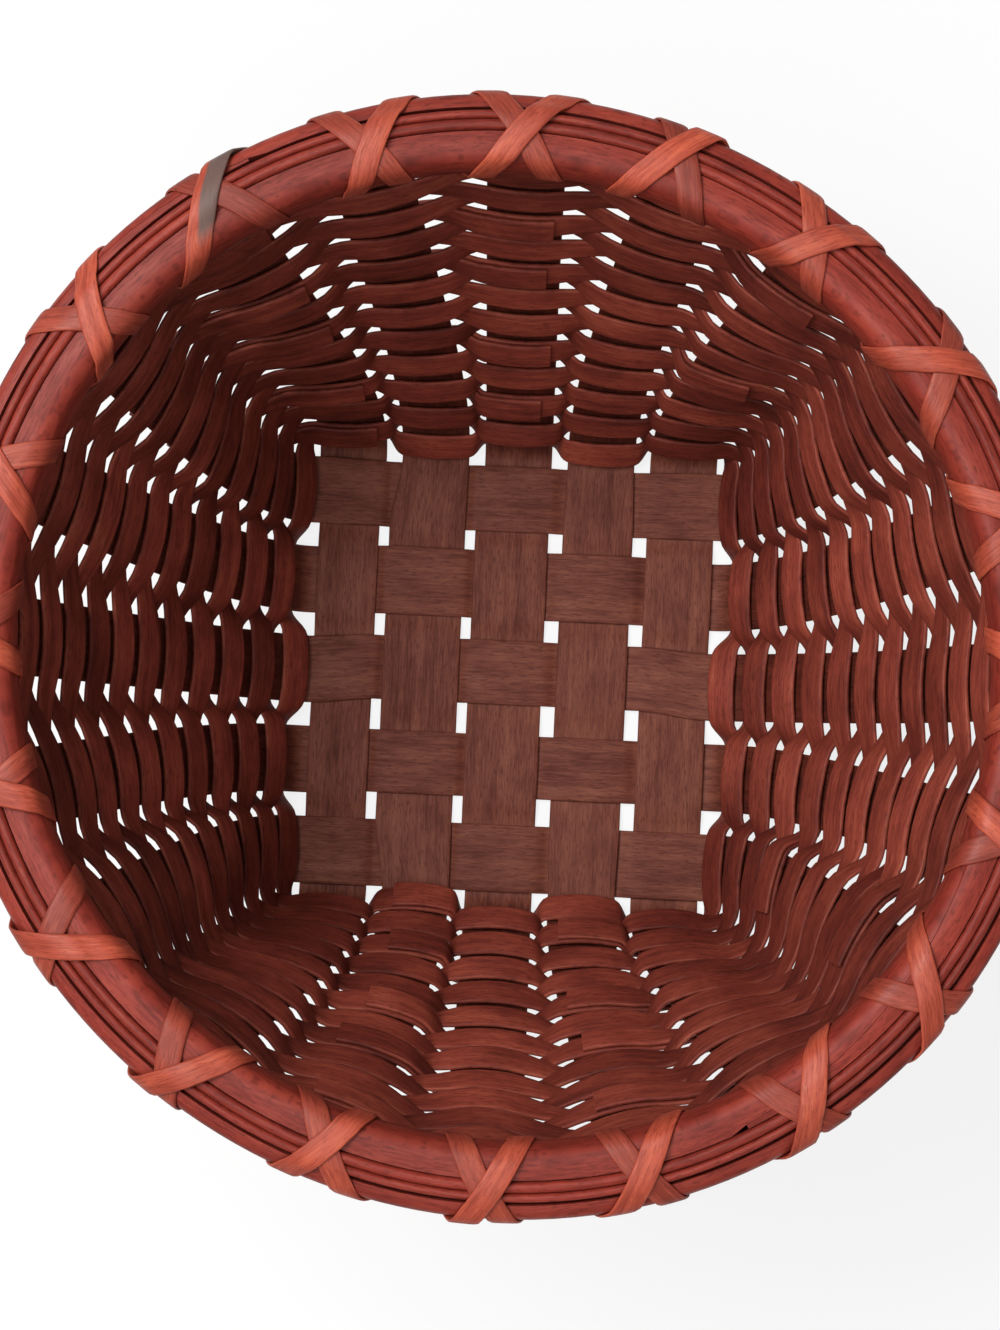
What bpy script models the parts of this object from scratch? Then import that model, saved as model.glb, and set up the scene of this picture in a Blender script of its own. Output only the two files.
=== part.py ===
"""A square-bottomed, round-topped berry basket woven from flat splint, in metres, +Z up.

Ten stakes plait the square base, turn up into twenty uprights and are held by start-and-stop
rows of weaver. Two hoops with a filler between them close the rim, cross-lashed through the wall.
The origin is on the floor, under the middle of the base. +X runs along the five X stakes.
"""

import bisect
import math

import bmesh
import bpy
from mathutils import Matrix, Vector

# Splint
stake_width = 0.0164
stake_thickness = 0.0010
weaver_width = 0.0060
weaver_thickness = 0.0012
piece_gap = 0.0003

# Base
stakes_each_way = 5
column_gap = 0.0039
row_gap = 0.0057
crossing_margin = 0.0006
fold_margin = 0.0008
fold_radius = 0.0038

# Wall
rows = 23
row_spacing = 0.00036
bend_margin = 0.0005
foot_lean = math.radians(37)
top_lean = math.radians(12)
lean_ease_share = 1.5
wall_radius = 0.1045
oval_share = 0.017
oval_angle = math.radians(-38)
lap_steps = 2
lap_bend_angle = math.radians(30)
cut_end_share = 0.35
start_stride = 3
path_lead_share = 1 / 3

# Rim
rim_row_width = 0.0080
rim_row_thickness = 0.0008
hoop_height = 0.0105
inner_hoop_thickness = 0.0068
outer_hoop_thickness = 0.0043
hoop_steps = 36
scarf_steps = 4
scarf_tip_share = 0.15
hoop_joint_angle = math.radians(121)
filler_height = 0.0028
filler_sink = 0.0022
filler_crown_share = 0.7
lashing_width = 0.0060
lashing_thickness = 0.0008
lashing_passes = 2
lashing_start_angle = math.radians(117)
lashing_least_slant = math.radians(40)
lashing_cross_share = 0.65

# Half-oval hoop: half-height against thickness, both as shares of the hoop's own
hoop_depth_shares = (0.0, 0.6, 1.0)
hoop_half_height_shares = (0.5, 0.46, 0.22)

# Sizes that follow
uprights = 4 * stakes_each_way
upright_step = math.tau / uprights
half_side = stakes_each_way // 2
column_pitch = stake_width + column_gap
row_pitch = stake_width + row_gap
base_lift = (stake_thickness + piece_gap) / 2
base_level = base_lift + stake_thickness / 2
wall_arc = rows * (weaver_width + row_spacing)
layer_step = weaver_thickness + piece_gap
lap_shift = layer_step * math.tan(lap_bend_angle)
pass_reach = stake_width / 2 + bend_margin
lashing_step = lashing_thickness + piece_gap
slot_height = lashing_passes * lashing_step + piece_gap
chord_drop = wall_radius * (1 - math.cos(math.pi / hoop_steps))
flat_rise = pass_reach**2 / (2 * wall_radius)
inner_hoop_gap = stake_thickness / 2 + rim_row_thickness + 2 * piece_gap
outer_hoop_gap = inner_hoop_gap + flat_rise + chord_drop
hoop_top_rise = slot_height + hoop_height
stake_top_rise = max(slot_height + rim_row_width, hoop_top_rise - filler_sink)
filler_rise = stake_top_rise + piece_gap

# Facets, with the rows from one ring of a stake to the next at the corners and elsewhere
corner_ring_steps = 2
side_ring_steps = 3
fold_ring_shares = (0.0, 0.34, 0.67)
path_steps = 320
arc_overrun_share = 1.2
least_lean_share = 0.2
most_lean_share = 2.2
halving_steps = 30
sharp_angle = math.radians(30)


def clear_scene():
    for found in list(bpy.data.objects):
        bpy.data.objects.remove(found, do_unlink=True)


def splint_material(name, colour, roughness):
    material = bpy.data.materials.new(f"{name}_stain")
    material.use_nodes = True
    shader = material.node_tree.nodes["Principled BSDF"]
    shader.inputs["Base Color"].default_value = (*colour, 1)
    shader.inputs["Roughness"].default_value = roughness
    shader.inputs["Metallic"].default_value = 0
    material.diffuse_color = (*colour, 1)
    return material


def add_object(name, rings, finish):
    """One solid swept through rings of corners and capped at both ends, with its own stain."""
    mesh = bmesh.new()
    loops = [[mesh.verts.new(corner) for corner in ring] for ring in rings]
    for here, there in zip(loops, loops[1:]):
        for i in range(len(here)):
            j = (i + 1) % len(here)
            mesh.faces.new((here[i], here[j], there[j], there[i]))
    mesh.faces.new(loops[0])
    mesh.faces.new(loops[-1])
    bmesh.ops.recalc_face_normals(mesh, faces=mesh.faces)
    data = bpy.data.meshes.new(name)
    mesh.to_mesh(data)
    mesh.free()
    data.materials.append(splint_material(name, *finish))
    data.shade_smooth()
    data.set_sharp_from_angle(angle=sharp_angle)
    bpy.context.scene.collection.objects.link(bpy.data.objects.new(name, data))


def strip_rings(centres, widths, thickness):
    """Four-cornered rings of a flat strip: widths are its half-width vectors, bends are mitred."""
    rings = []
    for i, (centre, width) in enumerate(zip(centres, widths)):
        before = centre - centres[i - 1] if i else centres[1] - centre
        after = centres[i + 1] - centre if i + 1 < len(centres) else before
        face_before = before.cross(width).normalized()
        face_after = after.cross(width).normalized()
        mitre = (face_before + face_after).normalized()
        half = mitre * (thickness / 2 / mitre.dot(face_after))
        outer, inner = centre + half, centre - half
        rings.append([outer + width, outer - width, inner - width, inner + width])
    return rings


def plan_direction(angle):
    return Vector((math.cos(angle), math.sin(angle), 0))


def across(direction):
    """The level direction a quarter turn to the left of a level direction."""
    return Vector((-direction.y, direction.x, 0))


def rim_point(angle, offset=0.0, rise=0.0):
    """A point of the leaning rim, from the top row of the wall, and the level normal there.

    Offset is square to the wall and rise runs up along it.
    """
    swell = 1 + oval_share * math.cos(2 * (angle - oval_angle))
    slope = -2 * oval_share * math.sin(2 * (angle - oval_angle))
    outward = plan_direction(angle)
    normal = (outward * swell - across(outward) * slope).normalized()
    point = outward * (wall_radius * swell)
    point += normal * (offset * math.cos(top_lean) + rise * math.sin(top_lean))
    point.z = rise * math.cos(top_lean) - offset * math.sin(top_lean)
    return point, normal


class Upright:
    """The middle line of one stake end, from the edge of the base to the rim."""

    def __init__(self, index):
        side = (index + half_side) // stakes_each_way % 4
        place = (index + half_side) % stakes_each_way - half_side
        self.is_corner = abs(place) == half_side
        self.outward = plan_direction(side * math.tau / 4)
        pitches = (row_pitch, column_pitch) if side % 2 == 0 else (column_pitch, row_pitch)
        reach = half_side * pitches[1] + stake_width / 2 + fold_margin
        self.foot = self.outward * reach + across(self.outward) * (place * pitches[0])
        self.foot.z = base_level
        self.angle = index * upright_step
        self.head, self.head_normal = rim_point(self.angle)
        self.turn = self.outward.xy.angle_signed(self.head_normal.xy)
        self.trace_plan()

    def trace_plan(self):
        """Straight through the fold, then an easy curve to the rim, as points with their travel."""
        start = self.foot + self.outward * fold_radius
        start.z = 0
        lead = (self.head - start).length * path_lead_share
        curve = (start, start + self.outward * lead, self.head - self.head_normal * lead, self.head)
        self.plan = [self.foot.xy.to_3d()]
        for i in range(path_steps + 1):
            t = i / path_steps
            weights = ((1 - t) ** 3, 3 * t * (1 - t) ** 2, 3 * t * t * (1 - t), t**3)
            self.plan.append(sum((p * w for p, w in zip(curve, weights)), Vector((0, 0, 0))))
        self.travel = [0.0]
        for here, there in zip(self.plan, self.plan[1:]):
            self.travel.append(self.travel[-1] + (there - here).length)

    def climb(self, lean_factor):
        """Travel outwards and height along the arc, for a wall whose foot lean is scaled by a factor.

        The lean eases off from the foot to the top, which leans as the rim does.
        """
        fold_arc = fold_radius * (math.pi / 2 - lean_factor * foot_lean)
        step = wall_arc / path_steps
        arcs, outs, levels = [0.0], [0.0], [base_level]
        while arcs[-1] < fold_arc + wall_arc * arc_overrun_share:
            middle = arcs[-1] + step / 2
            if middle < fold_arc:
                lean = math.pi / 2 - middle / fold_radius
            else:
                left = max(1 - (middle - fold_arc) / wall_arc, 0)
                lean = top_lean + (lean_factor * foot_lean - top_lean) * left**lean_ease_share
            arcs.append(arcs[-1] + step)
            outs.append(outs[-1] + step * math.sin(lean))
            levels.append(levels[-1] + step * math.cos(lean))
        return fold_arc, arcs, outs, levels

    def solve_lean(self, miss):
        """Halve in on the lean factor at which the wall just reaches the rim."""
        low, high = least_lean_share, most_lean_share
        for _ in range(halving_steps):
            factor = (low + high) / 2
            if miss(*self.climb(factor)) < 0:
                low = factor
            else:
                high = factor
        return factor

    def height_at_least_arc(self):
        def miss(fold_arc, arcs, outs, levels):
            return value_at(fold_arc + wall_arc, arcs, outs) - self.travel[-1]

        fold_arc, arcs, _, levels = self.climb(self.solve_lean(miss))
        return value_at(fold_arc + wall_arc, arcs, levels)

    def settle(self, top_level):
        def miss(fold_arc, arcs, outs, levels):
            return value_at(top_level, levels, outs) - self.travel[-1]

        self.fold_arc, self.arcs, self.outs, self.levels = self.climb(self.solve_lean(miss))
        self.top_arc = value_at(top_level, self.levels, self.arcs)
        self.top_level = top_level

    def arc_at_row(self, row):
        return self.fold_arc + (self.top_arc - self.fold_arc) * row / rows

    def point(self, arc):
        if arc >= self.top_arc:
            return rim_point(self.angle, rise=arc - self.top_arc)[0] + Vector((0, 0, self.top_level))
        out = value_at(arc, self.arcs, self.outs)
        i = min(bisect.bisect_right(self.travel, out), len(self.travel) - 1)
        share = (out - self.travel[i - 1]) / (self.travel[i] - self.travel[i - 1])
        flat = self.plan[i - 1].lerp(self.plan[i], share)
        return Vector((flat.x, flat.y, value_at(arc, self.arcs, self.levels)))

    def frame(self, arc):
        """Middle point, level tangent to the left, and outward normal of the stake at an arc."""
        probe = weaver_thickness
        if arc > self.top_arc:
            slope = self.head_normal * math.cos(top_lean) - Vector((0, 0, math.sin(top_lean)))
            return self.point(arc), across(self.head_normal), slope
        low, high = self.point(max(arc - probe, 0.0)), self.point(min(arc + probe, self.top_arc))
        share = max((arc - self.fold_arc) / (self.top_arc - self.fold_arc), 0.0)
        facing = self.outward.copy()
        facing.rotate(Matrix.Rotation(-self.turn * share, 3, "Z"))
        tangent = across(facing)
        return self.point(arc), tangent, tangent.cross(high - low).normalized()


def value_at(place, places, values):
    """Straight-line reading of values at a place among rising places."""
    i = min(max(bisect.bisect_right(places, place), 1), len(places) - 1)
    share = (place - places[i - 1]) / (places[i] - places[i - 1])
    return values[i - 1] + (values[i] - values[i - 1]) * share


def build_uprights():
    made = [Upright(index) for index in range(uprights)]
    top_level = max(upright.height_at_least_arc() for upright in made)
    for upright in made:
        upright.settle(top_level)
    return made


def upright_stations(upright):
    """Middle points and half-width vectors up one stake end, from its fold to its cut top."""
    arcs = [upright.fold_arc * share for share in fold_ring_shares]
    spacing = corner_ring_steps if upright.is_corner else side_ring_steps
    arcs += [upright.arc_at_row(row) for row in range(0, rows, spacing)]
    arcs.append(upright.top_arc)
    arcs.append(upright.top_arc + stake_top_rise)
    stations = []
    for arc in arcs:
        centre, tangent, _ = upright.frame(arc)
        stations.append((centre, tangent * (stake_width / 2)))
    return stations


def base_stations(direction, place, lift_of):
    """Middle points across the base, over and under the crossing stakes."""
    crossing_pitch = column_pitch if direction.x else row_pitch
    place_pitch = row_pitch if direction.x else column_pitch
    sideways = across(direction)
    stations = []
    for crossing in range(half_side, -half_side - 1, -1):
        for edge in (1, -1):
            run = crossing * crossing_pitch + edge * (stake_width / 2 + crossing_margin)
            centre = direction * run + sideways * (place * place_pitch)
            centre.z = base_level + lift_of(crossing) * base_lift
            stations.append((centre, sideways * (stake_width / 2)))
    return stations


def build_stake(name, near, far, direction, place, lift_of, finish):
    """One stake: down one upright, across the base and up the upright opposite."""
    stations = upright_stations(near)[::-1]
    stations += base_stations(direction, place, lift_of)
    stations += [(centre, -width) for centre, width in upright_stations(far)]
    centres, widths = zip(*stations)
    add_object(name, strip_rings(centres, widths, stake_thickness), finish)


def build_stakes(ends, finish):
    """X stakes are on top where column and row add up to an even number, Y stakes elsewhere."""
    for number in range(1, stakes_each_way + 1):
        place = half_side + 1 - number

        def x_lift(crossing, row=number):
            return 1 if (crossing + half_side + 1 + row) % 2 == 0 else -1

        build_stake(
            f"stake_x{number}",
            ends[place % uprights],
            ends[uprights // 2 - place],
            Vector((1, 0, 0)),
            place,
            x_lift,
            finish,
        )

        def y_lift(crossing, column=number):
            return 1 if (column + half_side + 1 - crossing) % 2 else -1

        build_stake(
            f"stake_y{number}",
            ends[uprights // 4 + place],
            ends[3 * uprights // 4 - place],
            Vector((0, 1, 0)),
            place,
            y_lift,
            finish,
        )


def weaver_stations(ends, arc_of, parity, first, lap, width, thickness):
    """Middle points of a row that runs once round from its first stake, and laps its own start."""
    stations = []
    total = uprights + lap
    for count in range(total + (0 if lap else 1)):
        upright = ends[(first + count) % uprights]
        centre, tangent, normal = upright.frame(arc_of(upright))
        outside = (first + count + parity) % 2 == 0
        starting, ending = count < lap, count >= uprights and lap > 0
        doubled = (starting and not outside) or (ending and outside)
        offset = (stake_thickness + thickness) / 2 + piece_gap + (layer_step if doubled else 0.0)
        reach = pass_reach + (lap_shift if doubled else 0.0)
        left, right = -reach, reach
        if count == 0:
            left = -stake_width * cut_end_share if lap else piece_gap
        if count == total - (1 if lap else 0):
            right = stake_width * cut_end_share if lap else -piece_gap
        line = centre + normal * (offset if outside else -offset)
        rise = normal.cross(tangent) * (width / 2)
        stations += [(line + tangent * left, rise), (line + tangent * right, rise)]
    return stations


def row_start(row):
    """Odd rows start on the -Y side and even rows on +Y, each on an upright that it passes inside."""
    home = 3 * uprights // 4 if row % 2 else uprights // 4
    shift = row // 2 * start_stride % stakes_each_way - half_side
    start = home + shift
    return start + (start + row + 1) % 2


def build_weavers(ends, finish):
    for row in range(1, rows + 1):
        stations = weaver_stations(
            ends,
            lambda upright, level=row - 0.5: upright.arc_at_row(level),
            row,
            row_start(row),
            lap_steps,
            weaver_width,
            weaver_thickness,
        )
        centres, widths = zip(*stations)
        add_object(f"weaver_row_{row:02d}", strip_rings(centres, widths, weaver_thickness), finish)


def build_rim_row(ends, finish):
    """The wide top row between the hoops, its cut ends meeting on one stake."""
    middle = slot_height + rim_row_width / 2
    stations = weaver_stations(
        ends,
        lambda upright: upright.top_arc + middle,
        rows + 1,
        row_start(rows + 1),
        0,
        rim_row_width,
        rim_row_thickness,
    )
    centres, widths = zip(*stations)
    add_object("rim_row", strip_rings(centres, widths, rim_row_thickness), finish)


def hoop_ring(angle, face, sign, low, high, top_level):
    """Corners of the half-oval between two depths, flat towards the wall at offset face."""
    middle = slot_height + hoop_height / 2
    corners = []
    depths = (low, low + (high - low) * hoop_depth_shares[1], high)
    for turn in (1, -1):
        for depth in depths[::turn]:
            share = abs(depth) / (inner_hoop_thickness if sign < 0 else outer_hoop_thickness)
            half = hoop_height * value_at(share, hoop_depth_shares, hoop_half_height_shares)
            point, _ = rim_point(angle, sign * (face + depth), middle + turn * half)
            corners.append(point + Vector((0, 0, top_level)))
    return corners


def build_hoop(name, face, sign, thickness, joint, top_level, finish):
    """A hoop bent round from one length, its ends thinned and scarfed over each other."""
    rings = []
    for count in range(hoop_steps + scarf_steps + 1):
        angle = joint + count * math.tau / hoop_steps
        low, high = 0.0, thickness
        share = scarf_tip_share + (1 - 2 * scarf_tip_share) * (count % hoop_steps) / scarf_steps
        if count <= scarf_steps:
            high = thickness * share - piece_gap / 2
        if count >= hoop_steps:
            low = thickness * share + piece_gap / 2
        rings.append(hoop_ring(angle, face, sign, low, high, top_level))
    add_object(name, rings, finish)


def build_hoops(top_level, finish):
    step = math.tau / hoop_steps
    joint = round(hoop_joint_angle / step) * step
    build_hoop("outer_rim_hoop", outer_hoop_gap, 1, outer_hoop_thickness, joint, top_level, finish)
    joint += math.pi
    build_hoop("inner_rim_hoop", inner_hoop_gap, -1, inner_hoop_thickness, joint, top_level, finish)


def build_filler(name, inner, outer, joint, top_level, finish):
    """One strand laid on the cut stake tops, between the hoops, its ends meeting."""
    rings = []
    angles = [joint + count * math.tau / hoop_steps for count in range(hoop_steps)]
    angles.append(joint + math.tau - 2 * piece_gap / wall_radius)
    middle, half = (inner + outer) / 2, (outer - inner) / 2
    crown_half, crown_rise = half * filler_crown_share, filler_rise + filler_height
    corners = (
        (middle - half, filler_rise),
        (middle + half, filler_rise),
        (middle + crown_half, crown_rise),
        (middle - crown_half, crown_rise),
    )
    lift = Vector((0, 0, top_level))
    for angle in angles:
        rings.append([rim_point(angle, offset, rise)[0] + lift for offset, rise in corners])
    add_object(name, rings, finish)


def build_fillers(top_level, finish):
    inner, outer = piece_gap - inner_hoop_gap, outer_hoop_gap - piece_gap
    middle = (inner + outer) / 2
    build_filler("rim_filler_inner", inner, middle - piece_gap / 2, 0.0, top_level, finish)
    build_filler("rim_filler_outer", middle + piece_gap / 2, outer, math.pi, top_level, finish)


def rim_envelope():
    """Outline round both hoops and the filler, as offsets and rises from the top of the wall."""
    depth = hoop_depth_shares[1]
    shoulder = hoop_height * (hoop_half_height_shares[0] - hoop_half_height_shares[2])
    inner_face = -inner_hoop_gap - chord_drop
    low, high = slot_height, max(filler_rise + filler_height, hoop_top_rise)
    return [
        (inner_face - inner_hoop_thickness, low),
        (inner_face - inner_hoop_thickness, hoop_top_rise - shoulder),
        (inner_face - inner_hoop_thickness * depth, high),
        (outer_hoop_gap + outer_hoop_thickness * depth, high),
        (outer_hoop_gap + outer_hoop_thickness, hoop_top_rise - shoulder),
        (outer_hoop_gap + outer_hoop_thickness, low),
    ]


def grown_outline(points, distance):
    """The outline with every side moved outwards by a distance. It runs clockwise."""
    grown = []
    for i, point in enumerate(points):
        here = Vector(point)
        before = (here - Vector(points[i - 1])).normalized()
        after = (Vector(points[(i + 1) % len(points)]) - here).normalized()
        normals = Vector((-before.y, before.x)), Vector((-after.y, after.x))
        mitre = (normals[0] + normals[1]).normalized()
        grown.append(here + mitre * (distance / mitre.dot(normals[1])))
    return grown


def lashing_shares(outline):
    """How far along its diagonal the strip is at each corner, from inside slot to outside slot."""
    runs = [0.0]
    for here, there in zip(outline, outline[1:]):
        runs.append(runs[-1] + (there - here).length)
    return [run / runs[-1] for run in runs]


def lashing_places(outline, hand):
    """Angle, offset and rise of each bend, one slot on at each turn, to the left or to the right.

    The strip crosses over the stake on top of the rim, runs down steeply beside it, and makes up
    the rest of its step in the slot.
    """
    shares = lashing_shares(outline)
    slot_rise = outline[0].y
    start = (lashing_start_angle // upright_step + 0.5) * upright_step
    places = [(start, -piece_gap, slot_rise)]
    for turn in range(uprights):
        for point, share in zip(outline, shares):
            step = turn + 0.5 - math.cos(math.pi * share) / 2 * lashing_cross_share
            places.append((start + hand * upright_step * step, point.x, point.y))
    places.append((start + hand * math.tau, piece_gap, slot_rise))
    return places


def build_lashing(name, outline, hand, top_level, finish):
    """A flat strip wound round the rim, through the wall in each gap between uprights."""
    centres, tangents = [], []
    for angle, offset, rise in lashing_places(outline, hand):
        point, normal = rim_point(angle, offset, rise)
        centres.append(point + Vector((0, 0, top_level)))
        tangents.append(across(normal))
    widths = []
    for i, tangent in enumerate(tangents):
        low, high = max(i - 1, 0), min(i + 1, len(centres) - 1)
        along = (centres[high] - centres[low]).normalized()
        slant = max(along.cross(tangent).length, math.sin(lashing_least_slant))
        widths.append(tangent * (lashing_width / 2 / slant))
    add_object(name, strip_rings(centres, widths, lashing_thickness), finish)


def build_lashings(top_level, finish):
    first = grown_outline(rim_envelope(), piece_gap + lashing_thickness / 2)
    second = grown_outline(first, lashing_step)
    build_lashing("lashing_first_pass", first, 1, top_level, finish)
    build_lashing("lashing_second_pass", second, -1, top_level, finish)


def build_basket():
    clear_scene()
    stake_stain = ((0.150, 0.040, 0.026), 0.62)
    weaver_stain = ((0.175, 0.038, 0.024), 0.60)
    hoop_stain = ((0.270, 0.075, 0.050), 0.55)
    lashing_stain = ((0.430, 0.120, 0.070), 0.50)
    ends = build_uprights()
    top_level = ends[0].top_level
    build_stakes(ends, stake_stain)
    build_weavers(ends, weaver_stain)
    build_rim_row(ends, weaver_stain)
    build_hoops(top_level, hoop_stain)
    build_fillers(top_level, hoop_stain)
    build_lashings(top_level, lashing_stain)


build_basket()
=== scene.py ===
"""Berry basket of stained splint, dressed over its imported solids. Metres, +Z up, base on z = 0.

The sections follow the making: stakes, weavers, rim row, hoops, filler, lashing, then floor,
light and camera.
"""

import bisect
import math
import random

import bmesh
import bpy
from mathutils import Matrix, Vector, noise
from mathutils.geometry import convex_hull_2d


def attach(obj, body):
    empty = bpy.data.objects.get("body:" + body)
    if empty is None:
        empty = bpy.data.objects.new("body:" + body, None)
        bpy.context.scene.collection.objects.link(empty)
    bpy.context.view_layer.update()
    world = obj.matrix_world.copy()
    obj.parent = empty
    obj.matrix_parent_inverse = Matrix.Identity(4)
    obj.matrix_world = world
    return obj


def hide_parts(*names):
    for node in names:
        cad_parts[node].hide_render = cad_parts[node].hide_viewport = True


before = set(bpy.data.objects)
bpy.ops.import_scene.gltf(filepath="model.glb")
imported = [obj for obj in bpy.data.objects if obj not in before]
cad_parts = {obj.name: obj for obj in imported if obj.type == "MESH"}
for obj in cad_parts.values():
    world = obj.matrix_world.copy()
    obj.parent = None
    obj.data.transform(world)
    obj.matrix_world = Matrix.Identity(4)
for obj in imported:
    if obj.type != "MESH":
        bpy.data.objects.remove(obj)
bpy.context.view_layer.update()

# Stakes. Ten strips of ash splint, split along the grain, planed and dipped in a dark red stain.
# They plait the square base one over and one under, and their ends bend up as twenty uprights.

stake_width = 0.0164
stake_thickness = 0.0010
stakes_each_way = 5
half_side = stakes_each_way // 2
uprights = 4 * stakes_each_way
upright_step = math.tau / uprights
column_gap = 0.0039
row_gap = 0.0057
column_pitch = stake_width + column_gap
row_pitch = stake_width + row_gap

# The fold beside the plait, the level of the plait's middle and how far a stake rises or dips in it.
fold_margin = 0.0008
fold_radius = 0.0038
base_level = 0.00115
base_lift = 0.00054
base_belly = 0.0001

# The wall is a little oval at the rim. It leans out most at its foot, and is woven over 23 rows.
wall_radius = 0.1045
oval_share = 0.017
oval_angle = math.radians(-38)
foot_lean = math.radians(37)
top_lean = math.radians(12)
lean_ease_share = 1.5
rows = 23
row_height = 0.00636
wall_arc = rows * row_height
stake_top_rise = 0.0108

# The stain is rubbed thinner on the base. Up the wall the stakes darken, reaching their darkest at
# this height, and most of that darkening is painted shade for stake patches set back between weavers.
wall_shade_rise = 0.012

# How finely the middle line of an upright is worked out, and within what limits.
path_lead_share = 1 / 3
path_steps = 320
climb_share = 1.2
lean_factors = (0.2, 2.2)
lean_halvings = 30

# Edges that bend more than this are shaded sharp.
sharp_angle = math.radians(55)

# How far apart in the board the grain of two pieces lies, and of the two faces of one strip.
grain_shift = 0.013
face_shift = 0.0007

# The face is planed flat and the sharp edges are rounded off.
stake_section = (
    (0.0, 1.0, 0.0),
    (0.86, 1.0, 0.0),
    (0.965, 0.96, 0.6),
    (0.99, 0.75, 1.0),
    (1.0, 0.3, 1.0),
    (1.0, 0.0, 1.0),
)


def plan_direction(angle):
    """The level direction at an angle from +X."""
    return Vector((math.cos(angle), math.sin(angle), 0))


def across(direction):
    """The level direction a quarter turn to the left of a level direction."""
    return Vector((-direction.y, direction.x, 0))


def value_at(place, places, values):
    """Straight-line reading of values at a place among rising places."""
    i = min(max(bisect.bisect_right(places, place), 1), len(places) - 1)
    share = (place - places[i - 1]) / (places[i] - places[i - 1])
    return values[i - 1] + (values[i] - values[i - 1]) * share


def rim_point(angle, offset=0.0, rise=0.0):
    """A point of the leaning rim, from the top row of the wall, and the level normal there."""
    swell = 1 + oval_share * math.cos(2 * (angle - oval_angle))
    slope = -2 * oval_share * math.sin(2 * (angle - oval_angle))
    outward = plan_direction(angle)
    normal = (outward * swell - across(outward) * slope).normalized()
    point = outward * (wall_radius * swell)
    point += normal * (offset * math.cos(top_lean) + rise * math.sin(top_lean))
    point.z = rise * math.cos(top_lean) - offset * math.sin(top_lean)
    return point, normal


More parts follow.
